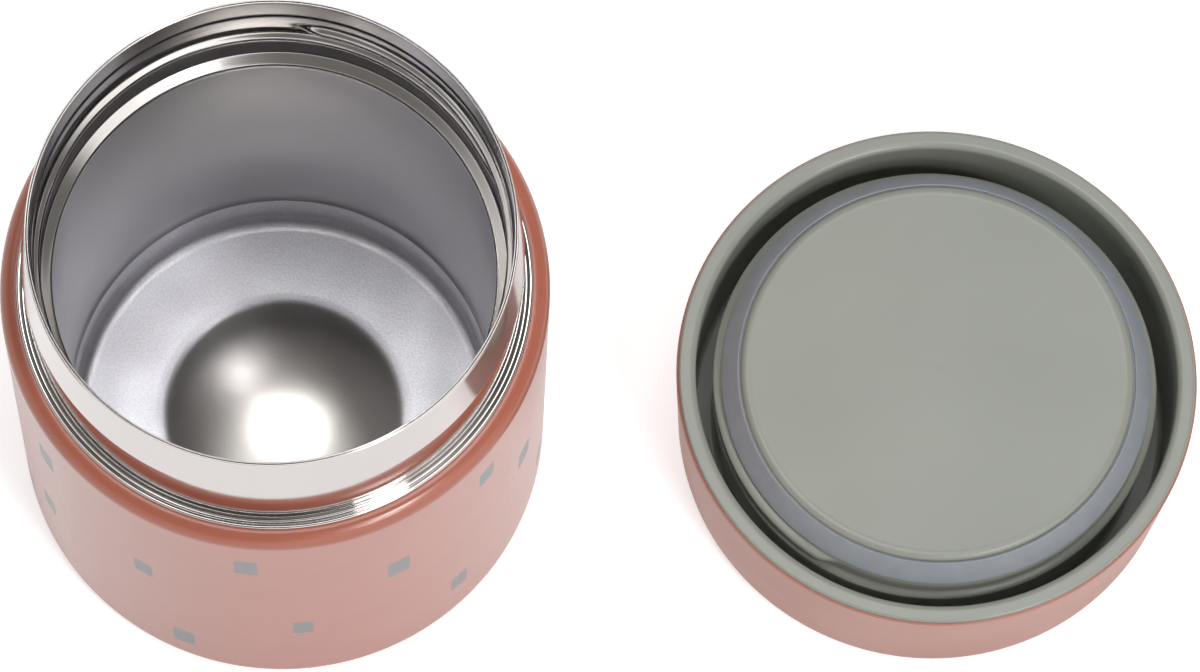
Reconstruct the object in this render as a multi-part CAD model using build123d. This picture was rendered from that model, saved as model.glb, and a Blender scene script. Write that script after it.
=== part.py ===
"""Insulated food jar with its screw lid lying upside down beside it.

Millimetres, +Z up. The origin is on the jar's axis at the surface that it stands on.
The jar is a steel vacuum vessel: a painted outer shell, a bare neck with an inside thread,
and an inner vessel. The lid is a plastic cover round a liner with a threaded plug.
Everything turned is a revolved section, and a thread rib is a section swept on a helix.
"""

import math
import os

from build123d import *

# Outer shell
body_radius = 46.7
shell_height = 79.8
shell_wall = 0.6
shoulder_fillet = 2.7
shell_mouth_flat = 0.1
foot_fillet = 4.4
foot_flat = 2.7
foot_fold_radius = 1.0
foot_flange_height = 3.4

# Bare neck and its ledge
ledge_reach = 1.7
neck_wall = 0.32
neck_height = 26.05
neck_land = 1.2
neck_taper = 1.2
neck_taper_height = 11.1
neck_taper_bend_radius = 1.5
ledge_rise = 0.43
ledge_width = 0.6
ledge_fold_radius = 0.4
groove_depth = 0.3
groove_width = 0.6
neck_tuck = 0.9
neck_tuck_fold_radius = 0.2

# Inner vessel
liner_wall = 0.32
weld_gap = 0.06
edge_gap = 0.1
throat_step = 2.8
mouth_bead_depth = 0.25
mouth_bead_top_drop = 5.2
mouth_bead_height = 3.3
mouth_bead_slope = 0.5
seat_inset = 0.9
seat_top_drop = 20.4
seat_height = 1.5
seat_blend_height = 2.8
vessel_weld_height = 16.0
floor_height = 6.5
floor_corner_radius = 2.5
floor_flat_width = 13.7
dome_height = 5.0

# Thread, shared by the jar's rib and the lid's rib
thread_starts = 1
thread_lead = 4.0
rib_arc = 440.0
rib_base_width = 2.9
rib_crest_width = 1.5
rib_root_sink = 0.12
jar_rib_height = 1.2
jar_rib_top_drop = 10.53
jar_rib_top_angle = 82.0
lid_rib_height = 1.35
lid_rib_top_drop = 1.0
lid_rib_top_angle = -118.0

# Closed bottom of the jar
plate_wall = 0.6
plate_height = 1.6
plate_fold_radius = 1.0
dimple_radius = 4.0
dimple_depth = 1.2
dimple_slope_run = 1.0
dimple_fold_radius = 0.5
seal_hole_radius = 0.8
seal_hole_gap = 0.02
seal_bead_radius = 3.2
seal_bead_height = 1.0
seal_bead_head = 0.5
base_cover_wall = 0.8
base_cover_gap = 0.5

# Inside the vacuum space
foil_gap = 0.3
foil_wall = 0.12
foil_bottom = 10.0
foil_top_clearance = 0.8
getter_radius = 2.4
getter_height = 1.6
getter_offset = 14.0
bracket_length = 12.0
bracket_width = 7.0
bracket_wall = 0.4
bracket_ear_height = 1.6

# Lid
lid_gap = 23.09
lid_cover_gap = 0.1
lid_cover_height = 29.3
lid_cover_draft = 2.85
lid_cover_wall = 1.0
lid_cover_fillet = 4.4
lid_rim_rise = 0.34
lid_rim_inset = 0.35
lid_rim_gap = 0.05
liner_thickness = 0.9
skirt_gap = 0.3
skirt_fold_radius = 1.2
channel_floor = 3.4
channel_fold_radius = 1.0
plug_gap = 2.3
plug_shoulder_drop = 3.24
plug_shoulder_fold_radius = 1.0
collar_step = 4.5
collar_height = 3.9
collar_fold_radius = 0.3
face_overhang = 1.2
face_wall = 1.46
face_edge_radius = 1.2
face_spigot_wall = 1.1
face_spigot_height = 2.8
face_spigot_gap = 0.05

# Silicone ring and the foam in the plug
ring_clearance = 0.3
ring_lip_grip = 0.65
ring_lip_rise = 0.7
ring_foot_width = 1.4
ring_lip_wall = 0.9
ring_top_above_collar = 0.3
foam_gap = 0.3

# Places worked out from the sizes above
shell_mouth_radius = body_radius - shoulder_fillet - shell_mouth_flat
recess_radius = body_radius - foot_fillet - foot_flat
ledge_height = shell_height + ledge_rise
lip_height = ledge_height + neck_height
groove_floor = ledge_height - groove_depth
ledge_outer_radius = shell_mouth_radius - edge_gap
shoulder_bend = shoulder_fillet - shell_wall
tuck_reach = neck_tuck - edge_gap - shell_mouth_flat
tuck_drop = shoulder_bend - math.sqrt(shoulder_bend**2 - tuck_reach**2) + edge_gap
tuck_height = shell_height - shell_wall - tuck_drop
neck_foot_radius = shell_mouth_radius - ledge_reach
neck_radius = neck_foot_radius - neck_taper
neck_land_bottom = lip_height - neck_land
neck_taper_bottom = neck_land_bottom - neck_taper_height
mouth_radius = neck_radius - neck_wall - weld_gap - liner_wall
food_radius = mouth_radius - throat_step
seat_outer_radius = mouth_radius - seat_inset
dome_radius = food_radius - floor_corner_radius - floor_flat_width
plate_top = plate_height + plate_wall
skirt_radius = neck_foot_radius + skirt_gap
plug_radius = mouth_radius - plug_gap
collar_radius = plug_radius - collar_step
face_radius = collar_radius + face_overhang
ring_lip_radius = food_radius + ring_lip_grip
lid_cover_foot_radius = skirt_radius + liner_thickness + lid_cover_gap + lid_cover_wall
lid_cover_radius = lid_cover_foot_radius + lid_cover_height * math.tan(math.radians(lid_cover_draft))
lid_axis_x = body_radius + lid_gap + lid_cover_radius
liner_rim_height = lid_cover_height + lid_rim_rise
liner_rim_radius = lid_cover_radius - lid_rim_inset - lid_rim_gap
plug_shoulder = liner_rim_height - plug_shoulder_drop
collar_top = plug_shoulder + collar_height


def unit(start, end):
    """Unit direction from one (r, z) point to another."""
    run = end[0] - start[0]
    rise = end[1] - start[1]
    length = math.hypot(run, rise)
    return run / length, rise / length


def offset_point(before, point, after, distance):
    """The corner of a line offset to the left of the path by a distance."""
    into = unit(before, point) if before else unit(point, after)
    out = unit(point, after) if after else into
    left_in = (-into[1], into[0])
    left_out = (-out[1], out[0])
    share = distance / (1 + left_in[0] * left_out[0] + left_in[1] * left_out[1])
    return (
        point[0] + share * (left_in[0] + left_out[0]),
        point[1] + share * (left_in[1] + left_out[1]),
    )


def turns_left(before, point, after):
    """True where the path turns to its left at this point."""
    into = unit(before, point)
    out = unit(point, after)
    return into[0] * out[1] - into[1] * out[0] > 0


def closed_section(points, radii):
    """Face in the X-Z plane inside a closed outline whose corners have the given radii."""
    outline = FilletPolyline(*points, radius=radii, close=True)
    return make_face(Plane.XZ * outline)


def sheet_section(path, radii, wall):
    """Section of a sheet of even thickness. A positive wall lies to the left of the path."""
    befores = [None] + path[:-1]
    afters = path[1:] + [None]
    far_side = [offset_point(*corner, wall) for corner in zip(befores, path, afters)]
    far_radii = []
    for before, point, after, radius in zip(path, path[1:], path[2:], radii):
        inward = turns_left(before, point, after) == (wall > 0)
        change = -abs(wall) if inward else abs(wall)
        far_radii.append(max(radius + change, 0))
    points = path + far_side[::-1]
    return closed_section(points, [0] + radii + [0, 0] + far_radii[::-1] + [0])


def turned(section):
    """Solid of a section turned round the Z axis."""
    return revolve(section, Axis.Z)


def tube(outer_radius, inner_radius, bottom, top):
    """Plain ring between two radii and two heights."""
    height = top - bottom
    at_bottom = Pos(0, 0, bottom)
    align = (Align.CENTER, Align.CENTER, Align.MIN)
    outside = Cylinder(outer_radius, height, align=align)
    inside = Cylinder(inner_radius, height, align=align)
    return at_bottom * (outside - inside)


def disc(radius, bottom, top):
    """Plain cylinder standing between two heights."""
    align = (Align.CENTER, Align.CENTER, Align.MIN)
    return Pos(0, 0, bottom) * Cylinder(radius, top - bottom, align=align)


def thread_rib(wall_radius, crest_radius, top_height, top_angle):
    """One helical rib that rises anticlockwise, from a wall out or in to its crest."""
    rise = thread_lead * rib_arc / 360
    outward = math.copysign(1, crest_radius - wall_radius)
    root_radius = wall_radius - outward * rib_root_sink
    path = Helix(pitch=thread_lead, height=rise, radius=root_radius)
    start = Plane(origin=path @ 0, x_dir=(1, 0, 0), z_dir=path % 0)
    depth = crest_radius - root_radius
    half_base = rib_base_width / 2
    half_crest = rib_crest_width / 2
    corners = [(0, -half_base), (depth, -half_crest), (depth, half_crest), (0, half_base)]
    section = make_face(start * Polyline(*corners, close=True))
    rib = sweep(section, path=path, is_frenet=True)
    return Pos(0, 0, top_height - rise) * Rot(0, 0, top_angle - rib_arc) * rib


def thread_ribs(wall_radius, crest_radius, top_height, top_angle):
    """All the ribs of a thread, one for each start."""
    step = 360 / thread_starts
    angles = [top_angle + index * step for index in range(thread_starts)]
    return [thread_rib(wall_radius, crest_radius, top_height, angle) for angle in angles]


def outer_shell():
    """Painted can, from its mouth over the shoulder and down to a folded foot."""
    path = [
        (shell_mouth_radius, shell_height),
        (body_radius, shell_height),
        (body_radius, 0),
        (recess_radius, 0),
        (recess_radius, foot_flange_height),
    ]
    radii = [shoulder_fillet, foot_fillet, foot_fold_radius]
    return turned(sheet_section(path, radii, -shell_wall))


def neck_ring():
    """Bare outer wall of the neck: a taper, a straight foot, and a ledge under the shell's mouth."""
    groove_outer_radius = neck_foot_radius + groove_width
    path = [
        (neck_radius, lip_height),
        (neck_radius, neck_land_bottom),
        (neck_foot_radius, neck_taper_bottom),
        (neck_foot_radius, groove_floor),
        (groove_outer_radius, groove_floor),
        (ledge_outer_radius - ledge_width, ledge_height),
        (ledge_outer_radius, ledge_height),
        (ledge_outer_radius, tuck_height),
        (ledge_outer_radius + neck_tuck, tuck_height),
    ]
    bend = neck_taper_bend_radius
    fold = ledge_fold_radius
    radii = [bend, bend, fold, fold, fold, fold, neck_tuck_fold_radius]
    return turned(sheet_section(path, radii, -neck_wall))


def inner_liner():
    """Inner vessel from the lip, past the thread and the seal seat, down to its weld."""
    bead_top = lip_height - mouth_bead_top_drop
    bead_bottom = bead_top - mouth_bead_height
    bead_radius = mouth_radius - mouth_bead_depth
    seat_top = lip_height - seat_top_drop
    path = [
        (mouth_radius, lip_height),
        (mouth_radius, bead_top),
        (bead_radius, bead_top - mouth_bead_slope),
        (bead_radius, bead_bottom + mouth_bead_slope),
        (mouth_radius, bead_bottom),
        (mouth_radius, seat_top + seat_blend_height),
        (seat_outer_radius, seat_top),
        (food_radius, seat_top - seat_height),
        (food_radius, vessel_weld_height),
    ]
    radii = [0.8, 0.8, 0.8, 0.8, 1.0, 0.8, 0.8]
    wall = turned(sheet_section(path, radii, liner_wall))
    crest = mouth_radius - jar_rib_height
    ribs = thread_ribs(mouth_radius, crest, lip_height - jar_rib_top_drop, jar_rib_top_angle)
    for rib in ribs:
        wall = wall + rib
    return wall


def inner_base_cup():
    """Bottom of the inner vessel: a shallow cup with a domed middle."""
    under = floor_height - liner_wall
    crown = floor_height + dome_height
    arc_radius = (dome_radius**2 + dome_height**2) / (2 * dome_height)
    halfway = dome_radius / 2
    drop = arc_radius - math.sqrt(arc_radius**2 - halfway**2)
    outer = food_radius + liner_wall
    food_side = FilletPolyline(
        (food_radius, vessel_weld_height),
        (food_radius, floor_height),
        (dome_radius, floor_height),
        radius=floor_corner_radius,
    )
    vacuum_side = FilletPolyline(
        (dome_radius, under),
        (outer, under),
        (outer, vessel_weld_height),
        radius=floor_corner_radius + liner_wall,
    )
    edges = [
        food_side,
        ThreePointArc((dome_radius, floor_height), (halfway, crown - drop), (0, crown)),
        Line((0, crown), (0, crown - liner_wall)),
        ThreePointArc((0, crown - liner_wall), (halfway, crown - liner_wall - drop), (dome_radius, under)),
        vacuum_side,
        Line((outer, vessel_weld_height), (food_radius, vessel_weld_height)),
    ]
    return turned(make_face([Plane.XZ * edge for edge in edges]))


def outer_base_plate():
    """Bottom plate, set up inside the foot, with a dimple and hole for the vacuum seal."""
    ceiling = plate_height + dimple_depth
    rim = recess_radius - weld_gap
    path = [
        (seal_hole_radius, ceiling),
        (dimple_radius, ceiling),
        (dimple_radius + dimple_slope_run, plate_height),
        (rim, plate_height),
        (rim, foot_flange_height),
    ]
    radii = [dimple_fold_radius, dimple_fold_radius + plate_wall, plate_fold_radius]
    return turned(sheet_section(path, radii, plate_wall))


def vacuum_seal():
    """Brazed bead that closes the evacuation hole, a disc with a stub through the hole."""
    ceiling = plate_height + dimple_depth
    bead = disc(seal_bead_radius, ceiling - seal_bead_height, ceiling)
    stub = disc(seal_hole_radius - seal_hole_gap, ceiling, ceiling + plate_wall + seal_bead_head)
    return bead + stub


def base_cover():
    """Thin disc that hides the plate and its seal, a little above the foot."""
    return disc(recess_radius - base_cover_gap, plate_height - base_cover_wall, plate_height)


def radiation_foil():
    """Foil sleeve wrapped round the inner vessel in the vacuum space."""
    inside = food_radius + liner_wall + foil_gap
    return tube(inside + foil_wall, inside, foil_bottom, groove_floor - foil_top_clearance)


def getter_bracket():
    """Folded strip on the bottom plate with an ear at each side of the getter."""
    align = (Align.CENTER, Align.CENTER, Align.MIN)
    strip = Box(bracket_length, bracket_width, bracket_wall, align=align)
    ear = Box(bracket_length / 2, bracket_wall, bracket_ear_height, align=align)
    ear_y = (bracket_width - bracket_wall) / 2
    folded = strip + Pos(0, ear_y, 0) * ear + Pos(0, -ear_y, 0) * ear
    return Pos(getter_offset, 0, plate_top) * folded


def getter():
    """Pellet that keeps the vacuum clean, lying on its bracket."""
    bottom = plate_top + bracket_wall
    return Pos(getter_offset, 0, 0) * disc(getter_radius, bottom, bottom + getter_height)


def lid_cover():
    """Outer cover of the lid, its closed end down, with a step that holds the liner's rim."""
    path = [
        (lid_cover_radius, lid_cover_height),
        (lid_cover_foot_radius, 0),
        (0, 0),
    ]
    cup = turned(sheet_section(path, [lid_cover_fillet], -lid_cover_wall))
    step_bottom = liner_rim_height - liner_thickness
    step_radius = lid_cover_radius - lid_rim_inset
    return cup - disc(step_radius, step_bottom, lid_cover_height + lid_cover_wall)


def lid_liner():
    """Inner moulding: rim, skirt, channel for the neck, and the threaded plug."""
    path = [
        (liner_rim_radius, liner_rim_height),
        (skirt_radius, liner_rim_height),
        (skirt_radius, channel_floor),
        (plug_radius, channel_floor),
        (plug_radius, plug_shoulder),
        (collar_radius, plug_shoulder),
        (collar_radius, collar_top),
    ]
    radii = [
        skirt_fold_radius,
        channel_fold_radius,
        channel_fold_radius,
        plug_shoulder_fold_radius,
        collar_fold_radius,
    ]
    moulding = turned(sheet_section(path, radii, liner_thickness))
    crest = plug_radius + lid_rib_height
    for rib in thread_ribs(plug_radius, crest, plug_shoulder - lid_rib_top_drop, lid_rib_top_angle):
        moulding = moulding + rib
    return moulding


def plug_face():
    """Disc that closes the plug, with a spigot inside the collar."""
    spigot_radius = collar_radius - liner_thickness - face_spigot_gap
    top = collar_top + face_wall
    outline = [
        (0, top),
        (face_radius, top),
        (face_radius, collar_top),
        (spigot_radius, collar_top),
        (spigot_radius, collar_top - face_spigot_height),
        (spigot_radius - face_spigot_wall, collar_top - face_spigot_height),
        (spigot_radius - face_spigot_wall, collar_top),
        (0, collar_top),
    ]
    return turned(closed_section(outline, [0, face_edge_radius, 0, 0, 0, 0, 0, 0]))


def seal_ring():
    """Silicone ring in the groove under the plug's disc, with a sloping lip."""
    inside = collar_radius + ring_clearance
    foot = plug_shoulder + ring_clearance
    lip_height_here = plug_shoulder + ring_lip_rise
    top_radius = face_radius + ring_clearance
    under_face = collar_top - ring_clearance
    top = collar_top + ring_top_above_collar
    outline = [
        (inside, foot),
        (inside + ring_foot_width, foot),
        (inside + ring_foot_width, foot + ring_foot_width),
        (ring_lip_radius - ring_lip_wall, lip_height_here - ring_clearance),
        (ring_lip_radius, lip_height_here),
        (top_radius, top),
        (top_radius, under_face),
        (inside, under_face),
    ]
    return turned(closed_section(outline, [0.2, 0.3, 0.3, 0.15, 0.2, 0.15, 0, 0.2]))


def lid_insulation():
    """Foam slab that fills the plug, stepped to pass inside the collar."""
    wide = plug_radius - liner_thickness - foam_gap
    narrow = collar_radius - liner_thickness - face_spigot_gap - face_spigot_wall - foam_gap
    step = plug_shoulder - liner_thickness - foam_gap
    lower = disc(wide, lid_cover_wall, step)
    upper = disc(narrow, step, collar_top - foam_gap)
    return lower + upper


jar_pieces = {
    "outer_shell": outer_shell,
    "neck_ring": neck_ring,
    "inner_liner": inner_liner,
    "inner_base_cup": inner_base_cup,
    "outer_base_plate": outer_base_plate,
    "base_cover": base_cover,
    "vacuum_seal": vacuum_seal,
    "radiation_foil": radiation_foil,
    "getter_bracket": getter_bracket,
    "getter": getter,
}
lid_pieces = {
    "lid_cover": lid_cover,
    "lid_liner": lid_liner,
    "plug_face": plug_face,
    "seal_ring": seal_ring,
    "lid_insulation": lid_insulation,
}

os.makedirs("parts", exist_ok=True)
for name, make in jar_pieces.items():
    export_step(make(), f"parts/{name}.step")
for name, make in lid_pieces.items():
    export_step(Pos(lid_axis_x, 0, 0) * make(), f"parts/{name}.step")
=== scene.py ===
# %% [markdown]
# # An insulated food jar, open, with its lid lying beside it
#
# The jar is drawn steel and the lid is moulded plastic, so nearly every piece is a body of
# revolution. Blender could make them with the Screw modifier or with a spun bmesh outline. Here
# each one is worked out with numpy instead: a profile of radii and heights, carried round an axis
# as one grid. A thread rib is then only a change of radius at some places of that grid.

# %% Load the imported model
import math

import bmesh
import bpy
import numpy as np
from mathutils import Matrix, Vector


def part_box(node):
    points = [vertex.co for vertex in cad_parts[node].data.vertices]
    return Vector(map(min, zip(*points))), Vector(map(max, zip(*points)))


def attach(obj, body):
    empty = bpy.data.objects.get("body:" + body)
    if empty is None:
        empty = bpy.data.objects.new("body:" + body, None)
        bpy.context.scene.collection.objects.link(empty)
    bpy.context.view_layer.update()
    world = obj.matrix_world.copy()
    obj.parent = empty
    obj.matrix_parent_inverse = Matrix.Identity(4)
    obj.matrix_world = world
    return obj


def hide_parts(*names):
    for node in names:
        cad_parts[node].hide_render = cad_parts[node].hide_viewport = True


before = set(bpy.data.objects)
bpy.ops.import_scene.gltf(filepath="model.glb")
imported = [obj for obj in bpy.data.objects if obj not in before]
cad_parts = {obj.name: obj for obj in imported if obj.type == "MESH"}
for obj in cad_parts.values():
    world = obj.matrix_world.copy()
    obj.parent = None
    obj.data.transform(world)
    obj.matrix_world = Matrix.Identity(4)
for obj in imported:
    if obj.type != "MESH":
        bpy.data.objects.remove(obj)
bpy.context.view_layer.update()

# %% [markdown]
# ## Sizes
#
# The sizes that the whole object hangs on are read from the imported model, so the dressed pieces
# land on it exactly. Profiles are written in millimetres, the unit of a drawing, and become metres
# only when a mesh is made. Names in capitals are chosen, and the others are worked out.

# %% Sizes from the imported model, in millimetres
MM = 0.001


def high_corner(packed):
    """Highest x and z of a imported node, in millimetres."""
    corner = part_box(packed)[1]
    return corner[0] / MM, corner[2] / MM


body_radius, shoulder_height = high_corner("outer_shell")
liner_radius, lip_height = high_corner("inner_liner")
rim_height = high_corner("lid_liner")[1]
face_height = high_corner("plug_face")[1]
lid_low, lid_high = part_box("lid_cover")
lid_axis = (lid_low[0] + lid_high[0]) / 2 / MM
lid_radius = (lid_high[0] - lid_low[0]) / 2 / MM
print("body radius", round(body_radius, 2), "lip height", round(lip_height, 2))
print("lid axis", round(lid_axis, 2), "lid radius", round(lid_radius, 2))

# %% [markdown]
# ## Profiles with rounded corners
#
# A pressed sheet or a moulding never has a sharp corner, and a mirror finish shows every one. A
# Bevel modifier would round them, but it can't know which way a sheet folds. It is simpler to
# round the profile itself, so each corner gives way to an arc.

# %% The arc that takes a corner's place
ARC_POINTS = 9


def unit(vector):
    """A vector divided by its own length."""
    return vector / np.linalg.norm(vector)


def left_of(vector):
    """A vector, or each one of a list, turned a quarter to the left: (-y, x)."""
    return np.stack([-vector[..., 1], vector[..., 0]], axis=-1)


def corner_arc(before, corner, after, radius):
    """Arc that touches both sides of a corner: centre + cos a * spoke + sin a * its left."""
    into, out = unit(corner - before), unit(after - corner)
    turn = math.acos(float(np.clip(into @ out, -1, 1)))
    side = math.copysign(1, into[0] * out[1] - into[1] * out[0])
    start = corner - into * radius * math.tan(turn / 2)
    centre = start + side * radius * left_of(into)
    spoke = start - centre
    angle = np.linspace(0, side * turn, ARC_POINTS)[:, None]
    return centre + np.cos(angle) * spoke + np.sin(angle) * left_of(spoke)


# %% [markdown]
# The lines between the arcs are next. A support point near each end of a line keeps the smooth
# shading of a bend from leaking on to the flat beside it. A line that will carry a thread has even
# short steps instead.

# %% Corners joined into a path
SUPPORT = 0.12
SAME_POINT = 1e-6


def straight(start, end, step=None):
    """Points start + share * (end - start), in even steps or with one support near each end."""
    length = np.linalg.norm(end - start)
    if step:
        share = np.linspace(0, 1, max(2, int(length / step)))
    else:
        near = min(SUPPORT, length / 3) / max(length, SAME_POINT)
        share = np.array([0, near, 1 - near, 1])
    return start + share[:, None] * (end - start)


def rounded_path(corners, step=None):
    """Corners (radius, height, bend) joined by lines, with each inner one swapped for an arc."""
    places = [np.array(corner[:2], float) for corner in corners]
    bends = [corner[2] for corner in corners[1:-1]]
    arcs = [corner_arc(*corner) for corner in zip(places, places[1:], places[2:], bends)]
    starts = [places[0]] + [arc[-1] for arc in arcs]
    ends = [arc[0] for arc in arcs] + [places[-1]]
    runs = [straight(start, end, step) for start, end in zip(starts, ends)]
    pieces = [runs[0]]
    for arc, run in zip(arcs, runs[1:]):
        pieces += [arc, run]
    path = np.concatenate(pieces)
    moved = np.linalg.norm(np.diff(path, axis=0), axis=1) > SAME_POINT
    return path[np.r_[True, moved]]


sample_path = rounded_path([(0, 0), (10, 0, 2.0), (10, 10)])
print("one corner between two lines makes a path of", len(sample_path), "points")

# %% [markdown]
# A sheet is that path, its copy one wall away, and a half-round edge at each end. The copy is the
# path moved along its own normals, which is all that Solidify does, but here the two edges can be
# rounded as a trimmed steel edge is.

# %% Sheet and rounded edge
EDGE_POINTS = 7


def normals(path):
    """Left normals of a path: the quarter turn of its direction at each point."""
    direction = np.gradient(path, axis=0)
    direction /= np.linalg.norm(direction, axis=1)[:, None]
    return left_of(direction)


def half_round(start, end, side):
    """Half circle between two points: centre + cos a * spoke + side * sin a * its left."""
    centre = (start + end) / 2
    spoke = start - centre
    angle = np.linspace(0, math.pi, EDGE_POINTS)[1:-1, None]
    return centre + np.cos(angle) * spoke + side * np.sin(angle) * left_of(spoke)


def sheet_loop(path, wall):
    """Closed profile of a sheet: path, edge, path + wall * normal, edge. Left is positive."""
    far = path + wall * normals(path)
    side = math.copysign(1, wall)
    end_edge = half_round(path[-1], far[-1], side)
    start_edge = half_round(far[0], path[0], side)
    return np.concatenate([path, end_edge, far[::-1], start_edge])


print("the same path as a sheet has", len(sheet_loop(sample_path, 0.5)), "points")

# %% [markdown]
# ## From a profile to a mesh
#
# Turned round its axis, a profile becomes a grid, with one row for each step round and one column
# for each point of the profile. Its faces are four neighbouring numbers each, found for the whole
# grid at once. The sign of the volume that they enclose tells whether they look out.

# %% Profile to grid, grid to faces
FULL_TURN = 2 * math.pi
SEGMENTS = 360


def turn_profile(profile, axis_x, change):
    """Grid of a profile turned round a vertical axis: (axis + r cos a, r sin a, z)."""
    angle = np.arange(SEGMENTS) * FULL_TURN / SEGMENTS
    angle, radius = np.meshgrid(angle, profile[:, 0], indexing="ij")
    height = np.broadcast_to(profile[:, 1], radius.shape)
    if change:
        radius = change(angle, radius, height)
    return np.stack([axis_x + radius * np.cos(angle), radius * np.sin(angle), height], axis=-1)


def grid_faces(rows, columns, closed):
    """Corner numbers (row * columns + column) of all faces of a grid whose rows close round."""
    row = np.arange(rows)[:, None]
    column = np.arange(columns if closed else columns - 1)[None, :]
    next_row, next_column = (row + 1) % rows, (column + 1) % columns
    corners = [
        row * columns + column,
        next_row * columns + column,
        next_row * columns + next_column,
        row * columns + next_column,
    ]
    return np.stack(np.broadcast_arrays(*corners), axis=-1).reshape(-1, 4)


def enclosed_volume(points, faces):
    """Six times the volume: each face abcd adds a . (b x c) + a . (c x d)."""
    a, b, c, d = (points[faces[:, index]] for index in range(4))
    return np.einsum("ij,ij->", a, np.cross(b, c)) + np.einsum("ij,ij->", a, np.cross(c, d))


# %% [markdown]
# A profile that reaches the axis makes a pole there, a whole row of points in one place. Merging
# the doubles closes the surface. Each piece then rides on an empty named after its body.

# %% Grid to mesh, mesh to piece
MERGE_DISTANCE = 1e-6


def grid_mesh(name, grid, closed):
    """Mesh of a grid of points in millimetres, with its faces out and its doubles merged."""
    points = grid.reshape(-1, 3) * MM
    faces = grid_faces(*grid.shape[:2], closed)
    if enclosed_volume(points, faces) < 0:
        faces = faces[:, ::-1]
    mesh = bpy.data.meshes.new(name)
    mesh.from_pydata(points.tolist(), [], faces.tolist())
    shape = bmesh.new()
    shape.from_mesh(mesh)
    bmesh.ops.remove_doubles(shape, verts=shape.verts, dist=MERGE_DISTANCE)
    shape.to_mesh(mesh)
    shape.free()
    mesh.shade_smooth()
    return mesh


def turned_piece(name, profile, body, axis_x=0.0, change=None, closed=True):
    """Turned profile as an object. closed=False is for a profile with both ends on the axis."""
    mesh = grid_mesh(name, turn_profile(profile, axis_x, change), closed)
    piece = bpy.data.objects.new(name, mesh)
    bpy.context.scene.collection.objects.link(piece)
    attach(piece, body)
    print(name, "faces", len(mesh.polygons))
    return piece


# %% [markdown]
# ## Thread ribs
#
# Both threads are one rib with the same lead, a little more than a turn long. The helix gives, at
# each angle, the height of the rib's middle on each of its turns. The radius then changes by a
# smooth bump across the rib, times a second bump along it, so that the rib rises out of the wall
# and sinks back like a rolled thread.

# %% Thread as a change of radius
THREAD_LEAD = 4.0
RIB_ARC = math.radians(440)
RUN_OUT = 3  # a rib sinks back over this many times the arc that it rises in


def smooth_step(low, high, value):
    """Zero below one limit, one above the other, and 3 t^2 - 2 t^3 between them."""
    share = np.clip((value - low) / (high - low), 0, 1)
    return share * share * (3 - 2 * share)


def rib_bump(angle, height, top_angle, top_height, half_base, half_crest, tip):
    """Share of the rib's height at each place: across times along, the largest of its turns."""
    bump = np.zeros_like(height)
    for turn in range(math.ceil(RIB_ARC / FULL_TURN)):
        behind = (top_angle - angle) % FULL_TURN + turn * FULL_TURN
        middle = top_height - THREAD_LEAD * behind / FULL_TURN
        across = 1 - smooth_step(half_crest, half_base, np.abs(height - middle))
        fade = 1 - smooth_step(RIB_ARC - RUN_OUT * tip, RIB_ARC, behind)
        bump = np.maximum(bump, across * smooth_step(0, tip, behind) * fade)
    return bump


print("each rib is", round(RIB_ARC / FULL_TURN, 2), "turns long")

# %% [markdown]
# ## The painted shell
#
# A drawn can: a straight side, a rounded shoulder up to the bare ledge, and at the bottom a bend
# into a foot that folds up inside.

# %% Painted shell
SHELL_WALL = 0.6
SHOULDER_BEND = 2.7
SHOULDER_FLAT = 0.1
FOOT_BEND = 4.4
FOOT_FLAT = 2.7
FLANGE_HEIGHT = 3.4
FLANGE_BEND = 1.0
shell_mouth = body_radius - SHOULDER_BEND - SHOULDER_FLAT
recess_radius = body_radius - FOOT_BEND - FOOT_FLAT
shell_path = rounded_path(
    [
        (shell_mouth, shoulder_height),
        (body_radius, shoulder_height, SHOULDER_BEND),
        (body_radius, 0, FOOT_BEND),
        (recess_radius, 0, FLANGE_BEND),
        (recess_radius, FLANGE_HEIGHT),
    ]
)
shell_loop = sheet_loop(shell_path, -SHELL_WALL)
shell_skin = turned_piece("shell_skin", shell_loop, "jar")
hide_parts("outer_shell")

# %% [markdown]
# ## The bare neck and its ledge
#
# The neck ring is mirror-polished. It widens from its lip down to a straight foot, so the lid finds
# its way on, runs out into a shallow groove, climbs over a rolled edge, and tucks under the shell's
# mouth.

# %% Neck ring
NECK_WALL = 0.32
WELD_GAP = 0.06
LIP_BAND = 1.2
NECK_TAPER = 1.2
TAPER_HEIGHT = 11.1
TAPER_BEND = 1.5
GROOVE_DEPTH = 0.3
LEDGE_RISE = 0.43
LEDGE_GAP = 0.1
LEDGE_FLAT = 0.6
LEDGE_BEND = 0.4
TUCK_DEPTH = 0.82
TUCK_WIDTH = 0.9
TUCK_BEND = 0.2
neck_radius = liner_radius + WELD_GAP + NECK_WALL
neck_foot = neck_radius + NECK_TAPER
taper_top = lip_height - LIP_BAND
ledge_height = shoulder_height + LEDGE_RISE
groove_height = ledge_height - GROOVE_DEPTH
ledge_edge = shell_mouth - LEDGE_GAP
tuck_height = shoulder_height - TUCK_DEPTH
neck_path = rounded_path(
    [
        (neck_radius, lip_height - NECK_WALL / 2),
        (neck_radius, taper_top, TAPER_BEND),
        (neck_foot, taper_top - TAPER_HEIGHT, TAPER_BEND),
        (neck_foot, groove_height, LEDGE_BEND),
        (neck_foot + LEDGE_FLAT, groove_height, LEDGE_BEND),
        (ledge_edge - LEDGE_FLAT, ledge_height, LEDGE_BEND),
        (ledge_edge, ledge_height, LEDGE_BEND),
        (ledge_edge, tuck_height, TUCK_BEND),
        (ledge_edge + TUCK_WIDTH, tuck_height),
    ]
)
neck_loop = sheet_loop(neck_path, -NECK_WALL)
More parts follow.
